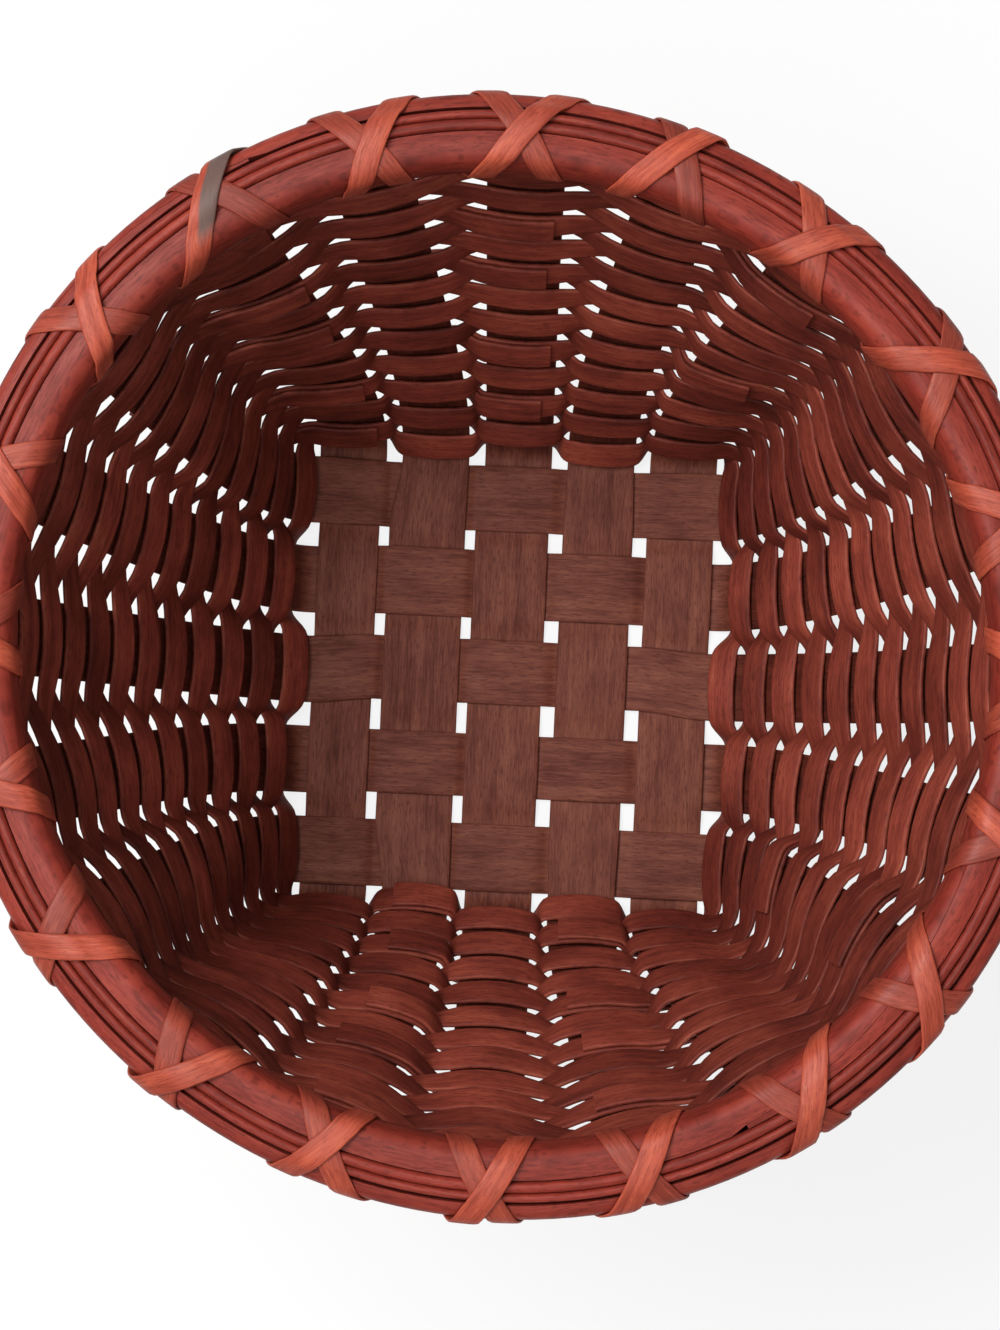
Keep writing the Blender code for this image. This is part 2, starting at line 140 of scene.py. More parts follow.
class Upright:
    """The middle line of one stake end, from the edge of the base to the rim."""

    def __init__(self, index):
        side = (index + half_side) // stakes_each_way % 4
        place = (index + half_side) % stakes_each_way - half_side
        self.index = index
        self.outward = plan_direction(side * math.tau / 4)
        pitches = (row_pitch, column_pitch) if side % 2 == 0 else (column_pitch, row_pitch)
        reach = half_side * pitches[1] + stake_width / 2 + fold_margin
        self.foot = self.outward * reach + across(self.outward) * (place * pitches[0])
        self.foot.z = base_level
        self.angle = index * upright_step
        self.head, self.head_normal = rim_point(self.angle)
        self.turn = self.outward.xy.angle_signed(self.head_normal.xy)
        start = self.foot + self.outward * fold_radius
        start.z = 0
        lead = (self.head - start).length * path_lead_share
        curve = (start, start + self.outward * lead, self.head - self.head_normal * lead, self.head)
        self.plan = [self.foot.xy.to_3d()]
        for i in range(path_steps + 1):
            t = i / path_steps
            weights = ((1 - t) ** 3, 3 * t * (1 - t) ** 2, 3 * t * t * (1 - t), t**3)
            self.plan.append(sum((p * w for p, w in zip(curve, weights)), Vector((0, 0, 0))))
        self.travel = [0.0]
        for here, there in zip(self.plan, self.plan[1:]):
            self.travel.append(self.travel[-1] + (there - here).length)

    def climb(self, lean_factor):
        """Travel outwards and height along the arc, as the lean eases off from foot to rim."""
        fold_arc = fold_radius * (math.pi / 2 - lean_factor * foot_lean)
        step = wall_arc / path_steps
        arcs, outs, levels = [0.0], [0.0], [base_level]
        while arcs[-1] < fold_arc + wall_arc * climb_share:
            middle = arcs[-1] + step / 2
            left = max(1 - (middle - fold_arc) / wall_arc, 0)
            lean = top_lean + (lean_factor * foot_lean - top_lean) * left**lean_ease_share
            if middle < fold_arc:
                lean = math.pi / 2 - middle / fold_radius
            arcs.append(arcs[-1] + step)
            outs.append(outs[-1] + step * math.sin(lean))
            levels.append(levels[-1] + step * math.cos(lean))
        return fold_arc, arcs, outs, levels

    def solve_lean(self, miss):
        """Halve in on the lean factor at which the wall just reaches the rim."""
        low, high = lean_factors
        for _ in range(lean_halvings):
            factor = (low + high) / 2
            if miss(*self.climb(factor)) < 0:
                low = factor
            else:
                high = factor
        return factor

    def own_height(self):
        """Height of the rim at which the rows are exactly as wide on this upright as they are cut."""
        fold_arc, arcs, _, levels = self.climb(
            self.solve_lean(
                lambda fold, arcs, outs, _: value_at(fold + wall_arc, arcs, outs) - self.travel[-1]
            )
        )
        return value_at(fold_arc + wall_arc, arcs, levels)

    def settle(self, level):
        """Leans the upright so that it meets the rim at a level."""
        self.fold_arc, self.arcs, self.outs, self.levels = self.climb(
            self.solve_lean(lambda _, arcs, outs, levels: value_at(level, levels, outs) - self.travel[-1])
        )
        self.top_arc = value_at(level, self.levels, self.arcs)
        self.top = Vector((0, 0, level))

    def arc_at_row(self, row):
        """Arc at the top of a row, or at the foot of the wall for row 0."""
        return self.fold_arc + (self.top_arc - self.fold_arc) * row / rows

    def point(self, arc):
        """Middle point of the stake at an arc, straight on upward above the top row."""
        if arc >= self.top_arc:
            return rim_point(self.angle, rise=arc - self.top_arc)[0] + self.top
        out = value_at(arc, self.arcs, self.outs)
        i = min(bisect.bisect_right(self.travel, out), len(self.travel) - 1)
        share = (out - self.travel[i - 1]) / (self.travel[i] - self.travel[i - 1])
        flat = self.plan[i - 1].lerp(self.plan[i], share)
        return Vector((flat.x, flat.y, value_at(arc, self.arcs, self.levels)))

    def frame(self, arc):
        """Middle point, level tangent to the left, and outward normal of the stake at an arc."""
        if arc > self.top_arc:
            slope = self.head_normal * math.cos(top_lean) - Vector((0, 0, math.sin(top_lean)))
            return self.point(arc), across(self.head_normal), slope
        probe = stake_thickness
        low, high = self.point(max(arc - probe, 0.0)), self.point(min(arc + probe, self.top_arc))
        share = max((arc - self.fold_arc) / (self.top_arc - self.fold_arc), 0.0)
        facing = self.outward.copy()
        facing.rotate(Matrix.Rotation(-self.turn * share, 3, "Z"))
        tangent = across(facing)
        return self.point(arc), tangent, tangent.cross(high - low).normalized()


def sweep_piece(name, rings, marks):
    """An object of closed rings joined in turn and capped, with the marks that its stain reads.

    Marks hold, for each corner, its place along and across the grain with a number for the piece,
    how near it is to an edge, how thick the stain lies (on the wall part of the stakes, mostly
    painted shade), and how far it is worn bare.
    """
    size = len(rings[0])
    mesh = bmesh.new()
    loops = [[mesh.verts.new(corner) for corner in ring] for ring in rings]
    for here, there in zip(loops, loops[1:]):
        for i in range(size):
            j = (i + 1) % size
            mesh.faces.new((here[i], here[j], there[j], there[i]))
    mesh.faces.new(loops[0])
    mesh.faces.new(loops[-1])
    bmesh.ops.recalc_face_normals(mesh, faces=mesh.faces)
    data = bpy.data.meshes.new(name)
    mesh.to_mesh(data)
    mesh.free()
    grain = [value for mark in marks for value in mark[:3]]
    data.attributes.new("grain", "FLOAT_VECTOR", "POINT").data.foreach_set("vector", grain)
    for place, title in ((3, "edge"), (4, "stain"), (5, "worn")):
        values = [mark[place] for mark in marks]
        data.attributes.new(title, "FLOAT", "POINT").data.foreach_set("value", values)
    data.shade_smooth()
    data.set_sharp_from_angle(angle=sharp_angle)
    piece = bpy.data.objects.new(name, data)
    bpy.context.scene.collection.objects.link(piece)
    return piece


def lay_splint(name, centres, halves, thickness, section, number, stain_and_shade_at, worn_at=None):
    """A strip of splint along middle points, halves being its half-width vectors.

    Section is a quarter of its outline, from the middle of the face to the middle of the edge, as
    shares of half width and half thickness, each with how near the edge it is.
    """
    around = [(a, b, e) for a, b, e in section]
    around += [(a, -b, e) for a, b, e in section[-2::-1]]
    around += [(-a, -b, e) for a, b, e in section[1:]]
    around += [(-a, b, e) for a, b, e in section[-2:0:-1]]
    rings, marks = [], []
    along, last = 0.0, len(centres) - 1
    for i, (centre, half) in enumerate(zip(centres, halves)):
        if i:
            along += (centre - centres[i - 1]).length
        course = centres[min(i + 1, last)] - centres[max(i - 1, 0)]
        face = course.cross(half).normalized() * (thickness / 2)
        stain = stain_and_shade_at(centre, along)
        rings.append([centre + half * a + face * b for a, b, _ in around])
        for a, b, e in around:
            worn = worn_at(centre, a) if worn_at else 0.0
            board = number * grain_shift + b * face_shift
            marks.append((along, a * half.length, board, e, stain, worn))
    return sweep_piece(name, rings, marks)


def linear(code):
    """A linear colour from an sRGB hex code."""
    parts = [int(code[i : i + 2], 16) / 255 for i in (0, 2, 4)]
    return (*[c / 12.92 if c <= 0.04045 else ((c + 0.055) / 1.055) ** 2.4 for c in parts], 1.0)


def add_node(tree, kind, sockets, **properties):
    """Adds a node: a socket takes a value, or a link where it is given another node's output."""
    node = tree.nodes.new(f"ShaderNode{kind}")
    for name, value in properties.items():
        setattr(node, name, value)
    for name, value in sockets.items():
        if isinstance(value, bpy.types.NodeSocket):
            tree.links.new(value, node.inputs[name])
        else:
            node.inputs[name].default_value = value
    return node


def stained_ash(name, thin, thick, bare, fibre, gloss, sheen, relief):
    """Planed ash under a wiped stain: fine grain, dark open pores, and lighter edges, partly rubbed and
    partly a painted highlight.

    Thin and thick are the stain's dark, middle and light tones where it lies thin and where it
    lies thick; on the stakes the thick tones are darkened with painted shade. Bare is wood rubbed
    grey. Fibre is the width of the grain drawn, gloss is the lowest and highest roughness, sheen is
    the specular level, and relief is the depth of the grain.
    """
    board_scale = 90
    material = bpy.data.materials.new(name)
    material.use_nodes = True
    tree = material.node_tree
    shader = tree.nodes["Principled BSDF"]
    grain = add_node(tree, "Attribute", {}, attribute_name="grain").outputs["Vector"]
    edge, stain, worn = (
        add_node(tree, "Attribute", {}, attribute_name=mark).outputs["Fac"]
        for mark in ("edge", "stain", "worn")
    )

    def grain_field(length, width, detail):
        """Noise drawn out along the grain, from 0 to 1, for features of a length and a width."""
        stretch = (1 / length, 1 / width, board_scale)
        drawn = add_node(tree, "VectorMath", {0: grain, 1: stretch}, operation="MULTIPLY")
        return add_node(
            tree, "TexNoise", {"Vector": drawn.outputs[0], "Scale": 1.0, "Detail": detail}
        ).outputs["Fac"]

    fibres = grain_field(0.005, fibre, 3.0)
    bands = grain_field(0.070, fibre * 4, 1.0)
    blotches = grain_field(0.012, 0.006, 3.0)
    pores = grain_field(0.0020, fibre * 0.8, 1.0)
    depth = add_node(tree, "Math", {0: fibres, 1: 0.40}, operation="MULTIPLY").outputs[0]
    for part, share in ((bands, 0.25), (blotches, 0.35)):
        depth = add_node(tree, "Math", {0: part, 1: share, 2: depth}, operation="MULTIPLY_ADD").outputs[0]
    pored = add_node(
        tree, "MapRange", {"Value": pores, "From Min": 0.56, "From Max": 0.68, "To Max": 0.65}
    ).outputs[0]
    coats = []
    for tones in (thin, thick):
        ramp = add_node(tree, "ValToRGB", {"Fac": depth})
        stops = ramp.color_ramp.elements
        stops.new(0.5)
        for stop, place, tone in zip(stops, (0.34, 0.50, 0.66), tones):
            stop.position, stop.color = place, linear(tone)
        pored_coat = add_node(
            tree, "Mix", {0: pored, 6: ramp.outputs["Color"], 7: linear(tones[0])}, data_type="RGBA"
        )
        coats.append(pored_coat.outputs[2])
    coat = add_node(tree, "Mix", {0: stain, 6: coats[0], 7: coats[1]}, data_type="RGBA").outputs[2]
    # Edges lighten towards the light tone: partly rubbed wear, partly a painted highlight of edges
    # catching the light.
    rubbed = add_node(tree, "Math", {0: edge, 1: blotches}, operation="MULTIPLY").outputs[0]
    rubbed = add_node(
        tree, "MapRange", {"Value": rubbed, "From Min": 0.42, "From Max": 0.7, "To Max": 0.45}
    )
    lighter_worn_and_highlit_edges = add_node(
        tree, "Mix", {0: rubbed.outputs[0], 6: coat, 7: linear(thin[2])}, data_type="RGBA"
    ).outputs[2]
    ragged = add_node(tree, "Math", {0: worn, 1: fibres, 2: worn}, operation="MULTIPLY_ADD").outputs[0]
    bared = add_node(
        tree, "MapRange", {"Value": ragged, "From Min": 0.45, "From Max": 1.0, "To Max": 0.9}
    )
    surface = add_node(
        tree, "Mix", {0: bared.outputs[0], 6: lighter_worn_and_highlit_edges, 7: linear(bare)}, data_type="RGBA"
    ).outputs[2]
    rough = add_node(
        tree,
        "MapRange",
        {"Value": depth, "From Min": 0.35, "From Max": 0.65, "To Min": gloss[1], "To Max": gloss[0]},
    ).outputs[0]
    height = add_node(tree, "Math", {0: pored, 1: -0.8, 2: depth}, operation="MULTIPLY_ADD").outputs[0]
    bump = add_node(tree, "Bump", {"Height": height, "Strength": 0.8, "Distance": relief}).outputs[0]
    tree.links.new(surface, shader.inputs["Base Color"])
    tree.links.new(rough, shader.inputs["Roughness"])
    tree.links.new(bump, shader.inputs["Normal"])
    shader.inputs["IOR"].default_value = 1.5
    shader.inputs["Specular IOR Level"].default_value = sheen
    return material


def stand_for(piece, node, material):
    """Dresses a piece, and sets it in place of its solid."""
    piece.data.materials.append(material)
    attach(piece, "root")
    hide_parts(node)


# Wide splint with the stain wiped off its face: brown red and matt, with short dark pores. Ash
# pores are 0.2 mm wide, and the grain is drawn at twice that, as fine as the picture shows.
stake_stain_and_shade = stained_ash(
    "wiped_stain_and_painted_shade_on_ash_stake",
    thin=("582A20", "784133", "8D523E"),
    # These darker tones colour the stakes on the wall: painted shade for the patches set back between the
    # weavers, over a deeper stain.
    thick=("38130E", "572318", "6C3023"),
    bare="6F625C",
    fibre=0.0004,
    gloss=(0.55, 0.72),
    sheen=0.2,
    relief=0.00004,
)

ends = [Upright(index) for index in range(uprights)]
wall_top = max(upright.own_height() for upright in ends)
for upright in ends:
    upright.settle(wall_top)
rim_lift = Vector((0, 0, wall_top))


def stake_end(upright, lift):
    """Middle points and half widths up one stake end, easing off its lift in the base."""
    arcs = [upright.fold_arc * share for share in (0.0, 0.2, 0.4, 0.6, 0.8)]
    arcs += [upright.arc_at_row(row) for row in range(rows)]
    arcs += [upright.top_arc, upright.top_arc + stake_top_rise / 2, upright.top_arc + stake_top_rise]
    stations = []
    for arc in arcs:
        centre, tangent, _ = upright.frame(arc)
        centre.z += lift * base_lift * max(1 - arc / upright.fold_arc, 0) ** 2
        stations.append((centre, tangent * (stake_width / 2)))
    return stations


# How far each stake lies out of its place in the base, and its width there as a share, from the
# stake furthest left of its direction to the one furthest right. Hand-split stakes are uneven.
base_drift = {"x": (-0.0003, 0.0007, 0.0013, 0.0004, 0.0), "y": (0.0002, 0.0013, 0.0008, 0.0, 0.0001)}
base_breadth_share = {"x": (0.98, 1.02, 0.96, 0.94, 1.0), "y": (0.90, 1.14, 1.10, 1.05, 1.0)}


def plait_base(axis, direction, place, lift_of):
    """Middle points and half widths of a stake across the base, over and under the crossing ones.

    It comes back to its own place and width at either fold.
    """
    crossing_pitch = column_pitch if direction.x else row_pitch
    place_pitch = row_pitch if direction.x else column_pitch
    sideways = across(direction)
    other, towards = ("y", -1) if axis == "x" else ("x", 1)
    drift, breadth = (table[axis][half_side - place] for table in (base_drift, base_breadth_share))

    def crossing_edges(crossing):
        """Where the crossing stake begins and ends along this one."""
        number = half_side - towards * crossing
        middle = crossing * crossing_pitch + towards * base_drift[other][number]
        half = stake_width / 2 * base_breadth_share[other][number]
        return middle + half, middle - half

    stations = []
    for crossing in range(half_side, -half_side - 1, -1):
        lift = lift_of(crossing)
        start, end = crossing_edges(crossing)
        if crossing == half_side:
            start = crossing * crossing_pitch + stake_width / 2
        if crossing == -half_side:
            end = crossing * crossing_pitch - stake_width / 2
        places = []
        for share in (0, 0.25, 0.5, 0.75, 1):
            level = lift * (base_lift + base_belly * (1 - (2 * share - 1) ** 2))
            places.append((start + (end - start) * share, level))
        if crossing > -half_side:
            after = crossing_edges(crossing - 1)[0]
            for share in (0.25, 0.5, 0.75):
                places.append((end + (after - end) * share, lift * base_lift * math.cos(math.pi * share)))
        for run, level in places:
            reach = half_side * crossing_pitch + stake_width / 2
            settled = min((reach - abs(run)) / stake_width, 1.0)
            settled = settled * settled * (3 - 2 * settled)
            centre = direction * run + sideways * (place * place_pitch + drift * settled)
            centre.z = base_level + level
            stations.append((centre, sideways * (stake_width / 2 * (1 + (breadth - 1) * settled))))
    return stations


for number in range(1, stakes_each_way + 1):
    place = half_side + 1 - number
    for axis in "xy":
        if axis == "x":
            near, far, direction = ends[place % uprights], ends[uprights // 2 - place], Vector((1, 0, 0))
        else:
            near, far = ends[uprights // 4 + place], ends[3 * uprights // 4 - place]
            direction = Vector((0, 1, 0))

        def lift_of(crossing, axis=axis):
            """1 where this stake passes over a crossing one, and -1 where it passes under."""
            if axis == "x":
                return 1 if (crossing + half_side + 1 + number) % 2 == 0 else -1
            return 1 if (number + half_side + 1 - crossing) % 2 else -1

        stations = stake_end(near, lift_of(half_side))[::-1]
        stations += plait_base(axis, direction, place, lift_of)
        stations += [(centre, -half) for centre, half in stake_end(far, lift_of(-half_side))]
        centres, halves = zip(*stations)
        stake = lay_splint(
            f"splint_stake_{axis}{number}",
            centres,
            halves,
            stake_thickness,
            stake_section,
            number + 20 * (axis == "y"),
            # Darkens up the wall into the painted shade of the stake patches between the weavers.
            lambda centre, along: min(centre.z / wall_shade_rise, 1.0),
        )
        stand_for(stake, f"stake_{axis}{number}", stake_stain_and_shade)

# Weavers. Twenty-three rows of ash splint, 6 mm wide and 1.2 mm thick, stained a redder brown.
# Each row is one strip, over one stake and under the next, and laps its own cut start by two.

weaver_thickness = 0.0012
weaver_clearance = 0.00004
row_clearance = 0.00006
row_wobble = 0.00022
first_row_extra = 0.0008

# A pass over a stake: how far it reaches and bows, and how far its lower edge leans off, which
# grows with the flare of the wall.
pass_reach = stake_width / 2
pass_belly = 0.0006
pass_lean = math.radians(11)
pass_lean_per_flare = 0.3
ends_lean_share = 0.85

# How much bow and lean vary from pass to pass, what is left of them outside, and how much they
# grow towards the front of the basket, on the -Y side.
slack_share = 0.3
outside_slack_share = 0.25
front_slack_share = 0.4

# The lap of a row on its own start, and its cut ends.
layer_step = weaver_thickness + weaver_clearance
lap_steps = 2
lap_shift = 0.0004
cut_end_share = 0.35
butt_gap = 0.0003
bend_steps = 6

# Cut square and worn soft at the corners, with a very low crown.
weaver_section = (
    (0.0, 1.0, 0.0),
    (0.55, 0.97, 0.0),
    (0.84, 0.90, 0.1),
    (0.93, 0.78, 0.6),
    (0.98, 0.55, 1.0),
    (1.0, 0.25, 1.0),
    (1.0, 0.0, 1.0),
)

# Narrow splint, where the stain sits thicker: deep red brown, with a low sheen and fine grain.
weaver_stain = stained_ash(
    "dipped_stain_on_ash_weaver",
    thin=("67281D", "903E30", "A9553F"),
    thick=("44160F", "67271D", "7C3527"),
    bare="6F625C",
    fibre=0.0004,
    gloss=(0.50, 0.66),
    sheen=0.25,
    relief=0.00004,
)


def row_edge(upright, row):
    """Arc of the line between two rows on an upright, a little out of true as hand weaving is."""
    if row == 0:
        return upright.arc_at_row(0) - first_row_extra
    wobble = row_wobble * noise.noise(Vector((upright.index * 0.83, row * 0.71, 4.0)))
    return upright.arc_at_row(row) + (wobble if row < rows else 0.0)


def weave_row(band_of, parity, first, lap, belly, lean, thickness):
    """Middle points and half widths of a row from its first upright, over and under, to its end.

    The strip bows over each stake by its belly, and swings across the gap to the next. As the
    basket widens upward, its upper edge is drawn tight and its lower edge leans off the stake,
    most of all inside, for it is pulled tight from the outside.
    """
    centres, halves = [], []
    total = uprights + lap
    offset_one = stake_thickness / 2 + weaver_clearance + thickness / 2
    cut_share = cut_end_share * (1 + noise.noise(Vector((parity * 1.7, 3.0, 6.0))))
    course = None
    for count in range(total + (0 if lap else 1)):
        upright = ends[(first + count) % uprights]
        low, high = band_of(upright)
        centre, tangent, normal = upright.frame((low + high) / 2)
        outside = (first + count + parity) % 2 == 0
        starting, ending = count < lap, count >= uprights and lap > 0
        doubled = (starting and not outside) or (ending and outside)
        side = 1 if outside else -1
        slack = 1 + slack_share * noise.noise(Vector((upright.index * 0.9, parity * 0.77, 8.0)))
        slack *= 1 + front_slack_share * max(-normal.y, 0.0) ** 2
        slack *= outside_slack_share if outside else 1.0
        swing = 2 * belly * slack / pass_reach
        lean_here = slack * (lean + pass_lean_per_flare * math.asin(-normal.z)) if lean else 0.0
        offset = offset_one + (layer_step if doubled else 0.0)
        reach = pass_reach + (lap_shift if doubled else 0.0)
        left, right = -reach, reach
        if count == 0:
            left = -stake_width * cut_share if lap else butt_gap
        if count == total - (1 if lap else 0):
            right = stake_width * cut_share if lap else -butt_gap
        half = (high - low - row_clearance) / 2
        passing, rises = [], []
        for share in (0, 0.2, 0.4, 0.6, 0.8, 1):
            run = left + (right - left) * share
            middle = max(1 - (run / reach) ** 2, 0)
            turn = lean_here * (ends_lean_share + (1 - ends_lean_share) * middle)
            off = offset + belly * slack * middle + half * math.sin(turn)
            passing.append(centre + tangent * run + normal * (side * off))
            rise = normal.cross(tangent) * math.cos(turn) - normal * (side * math.sin(turn))
            rises.append(rise * half)
        if centres:
            start, start_rise, gap = centres[-1], halves[-1], (passing[0] - centres[-1]).length
            arrival = tangent + normal * (side * swing)
            for i in range(1, bend_steps):
                t = i / bend_steps
                here, leave = 2 * t**3 - 3 * t * t + 1, t**3 - 2 * t * t + t
                weights = (here, leave, 3 * t * t - 2 * t**3, t**3 - t * t)
                knots = (start, course * gap, passing[0], arrival * gap)
                centres.append(sum((k * w for k, w in zip(knots, weights)), Vector((0, 0, 0))))
                halves.append(start_rise.lerp(rises[0], t))
        centres += passing
        halves += rises
        course = tangent - normal * (side * swing)
    return centres, halves


def stain_on_row(row):
    """How thick the stain lies along a row: patchy from strip to strip, and thick at the corners."""
    whole = 0.4 + 0.6 * noise.noise(Vector((row * 3.7, 0.5, 0)))

    def stain_and_shade_at(centre, along):
        corner = max(-math.cos(4 * math.atan2(centre.y, centre.x)), 0.0)
        patch = noise.noise(Vector((along * 18, row * 9.1, 2)))
        fleck = noise.noise(Vector((along * 75, row * 5.3, 9)))
        return min(max(whole + 0.5 * patch + 0.45 * fleck + 0.5 * corner, 0.0), 1.0)

    return stain_and_shade_at


def row_start(row):
    """Odd rows start on the -Y side and even rows on +Y, each on an upright passed inside."""
    home = 3 * uprights // 4 if row % 2 else uprights // 4
    start = home + row // 2 * 3 % stakes_each_way - half_side
    return start + (start + row + 1) % 2


for row in range(1, rows + 1):
    centres, halves = weave_row(
        lambda upright: (row_edge(upright, row - 1), row_edge(upright, row)),
        row,
        row_start(row),
        lap_steps,
        pass_belly,
        pass_lean,
        weaver_thickness,
    )
    weaver = lay_splint(
        f"splint_weaver_{row:02d}",
        centres,
        halves,
        weaver_thickness,
        weaver_section,
        40 + row,
        stain_on_row(row),
    )
    stand_for(weaver, f"weaver_row_{row:02d}", weaver_stain)

# Rim row. One wider strip of the weavers' splint, woven round above the slot for the lashing.
# The hoops clamp it from both sides, and its cut ends meet on one stake.

slot_height = 0.0025
rim_row_width = 0.0080
rim_row_thickness = 0.0008

centres, halves = weave_row(
    lambda upright: (upright.top_arc + slot_height, upright.top_arc + slot_height + rim_row_width),
    rows + 1,
    row_start(rows + 1),
    lap=0,
    belly=0.0,
    lean=0.0,
    thickness=rim_row_thickness,
)
rim_row = lay_splint(
    "splint_rim_row", centres, halves, rim_row_thickness, weaver_section, 70, stain_on_row(rows + 1)
)
stand_for(rim_row, "rim_row", weaver_stain)

# Hoops. Two half-oval ash hoops, shaved to a round back and flat against the wall, steamed round.
# The ends of each are thinned to a long scarf and overlap, and the lashing holds them.

hoop_height = 0.0105
inner_hoop_thickness = 0.0062
outer_hoop_thickness = 0.0039
inner_hoop_gap = 0.0021
outer_hoop_gap = 0.0031
scarf_length = math.radians(40)
scarf_tip_share = 0.15
scarf_gap = 0.0001
deepest_share = 0.9995
hoop_joint_angle = math.radians(120)
hoop_ring_count = 180
hoop_back_steps = 9

# Shaved and sanded by hand, under the same stain rubbed back: smooth, red brown, soft sheen.
hoop_stain = stained_ash(
    "rubbed_stain_on_ash_hoop",
    thin=("6A2117", "8C3125", "A04030"),
    thick=("561912", "78281D", "8C3728"),
    bare="6F625C",
    fibre=0.0005,
    gloss=(0.45, 0.60),
    sheen=0.25,
    relief=0.00003,
)


def stain_on_hoop(along, number):
    """How thick the stain lies along a hoop or a filler strand, in long patches."""
    return min(max(0.4 + 0.9 * noise.noise(Vector((along * 14, number * 5.3, 1))), 0), 1)


def bend_hoop(name, face, sign, thickness, joint, number):
    """A hoop swept from its half-oval section, thinned through the overlap at either end."""
    rings, marks = [], []
    step = math.tau / hoop_ring_count
    count_end = round((math.tau + scarf_length) / step)
    for count in range(count_end + 1):
        angle = joint + count * step
        low, high = 0.0, 1.0
        past = (count * step) % math.tau
        share = scarf_tip_share + (1 - 2 * scarf_tip_share) * past / scarf_length
        if count * step <= scarf_length:
            high = share - scarf_gap / 2 / thickness
        if count * step >= math.tau:
            low = share + scarf_gap / 2 / thickness
        turns = [math.asin(min(depth, deepest_share) ** 1.5) for depth in (low, high)]
        back = []
        for i in range(hoop_back_steps + 1):
            turn = turns[0] + (turns[1] - turns[0]) * i / hoop_back_steps
            back.append((math.sin(turn) ** (2 / 3), math.cos(turn) ** (2 / 3)))
        section = back + [(depth, -half) for depth, half in back[::-1]]
        ring = []
        along = count * step * wall_radius
        for depth, half in section:
            rise = slot_height + hoop_height / 2 * (1 + half)
            ring.append(rim_point(angle, sign * (face + depth * thickness), rise)[0] + rim_lift)
            place = half * hoop_height / 2 + math.copysign(depth * thickness, half)
            marks.append((along, place, number * grain_shift, 0.0, stain_on_hoop(along, number), 0.0))
        rings.append(ring)
    return sweep_piece(name, rings, marks)


outer_hoop = bend_hoop("ash_hoop_outer", outer_hoop_gap, 1, outer_hoop_thickness, hoop_joint_angle, 80)
stand_for(outer_hoop, "outer_rim_hoop", hoop_stain)
inner_hoop = bend_hoop(
    "ash_hoop_inner", inner_hoop_gap, -1, inner_hoop_thickness, hoop_joint_angle + math.pi, 81
)
stand_for(inner_hoop, "inner_rim_hoop", hoop_stain)

# Filler. Two round-topped strands laid side by side on the cut stake tops, between the hoops.
# They close the top of the rim, and their ends meet on opposite sides.

filler_rise = 0.0111
filler_height = 0.0028
filler_points = 16
filler_squareness = 2.6
filler_end_gap = 0.0006
filler_inner_gap = 0.0003
filler_outer_gap = 0.0007
strand_gap = 0.0001


def lay_filler(name, inner, outer, joint, number):
    """One strand with a crowned back, from offset inner to outer."""
    rings, marks = [], []
    middle, half = (inner + outer) / 2, (outer - inner) / 2
    last = hoop_ring_count - 1
    for count in range(hoop_ring_count):
        angle = joint + (math.tau - filler_end_gap / wall_radius) * count / last
        ring = []
        for i in range(filler_points):
            turn = math.tau * i / filler_points
            aside = math.copysign(abs(math.cos(turn)) ** (2 / filler_squareness), math.cos(turn))
            upward = math.copysign(abs(math.sin(turn)) ** (2 / filler_squareness), math.sin(turn))
            rise = filler_rise + filler_height / 2 * (1 + upward)
            ring.append(rim_point(angle, middle + half * aside, rise)[0] + rim_lift)
            along = count * math.tau / last * wall_radius
            stain = stain_on_hoop(along, number)
            marks.append((along, half * aside, number * grain_shift, 0.0, stain, 0.0))
        rings.append(ring)
    return sweep_piece(name, rings, marks)


filler_middle = (outer_hoop_gap - inner_hoop_gap) / 2
filler_inner = lay_filler(
    "ash_filler_inner", filler_inner_gap - inner_hoop_gap, filler_middle - strand_gap / 2, 0.0, 82
)
stand_for(filler_inner, "rim_filler_inner", hoop_stain)
filler_outer = lay_filler(
    "ash_filler_outer", filler_middle + strand_gap / 2, outer_hoop_gap - filler_outer_gap, math.pi, 83
)
stand_for(filler_outer, "rim_filler_outer", hoop_stain)

# Lashing. Two passes of narrow splint, wound round both hoops through the slot between uprights.
# The first leans one way and the second crosses back over it, which makes a cross on each stake.

lashing_width = 0.0052
lashing_thickness = 0.0007
lashing_start_angle = math.radians(117)
lashing_first = (lashing_start_angle // upright_step + 0.5) * upright_step
lashing_points = 30
lashing_foot_points = 3
lashing_cross_share = 0.50
lashing_least_slant = math.radians(40)
lashing_end_gap = 0.0006
lashing_first_distance = 0.0004
lashing_second_distance = 0.00115

# The widest angle by which the foot of a turn is drawn aside.
lashing_sway = 0.042

# Apart by the first of these or less, the strips cross and the upper one is lifted in full. Apart
# by the second or more, it lies on the hoops.
lashing_across = 0.0068
lashing_clear_of = 0.0105

# Where the filler carries the lashing, as offsets, and how finely the loop round the rim is drawn.
filler_crest = (-0.001, 0.0014)
hoop_back_points = 20
round_points = 24

# A strip drawn tight and flat, with a faint crown.
lashing_section = (
    (0.0, 1.0, 0.0),
    (0.6, 0.97, 0.0),
    (0.88, 0.85, 0.2),
    (0.97, 0.55, 1.0),
    (1.0, 0.0, 1.0),
)

# The thinnest splint took the least stain: bright orange red on the second pass, which lies on
# top, and duller on the first, with fine dark grain.
lashing_stain = stained_ash(
    "thin_stain_on_ash_lashing",
    thin=("8B3321", "B24C36", "CA6144"),
    thick=("6A2519", "863527", "9B4433"),
    bare="5C504A",
    fibre=0.0004,
    gloss=(0.42, 0.56),
    sheen=0.3,
    relief=0.00003,
)


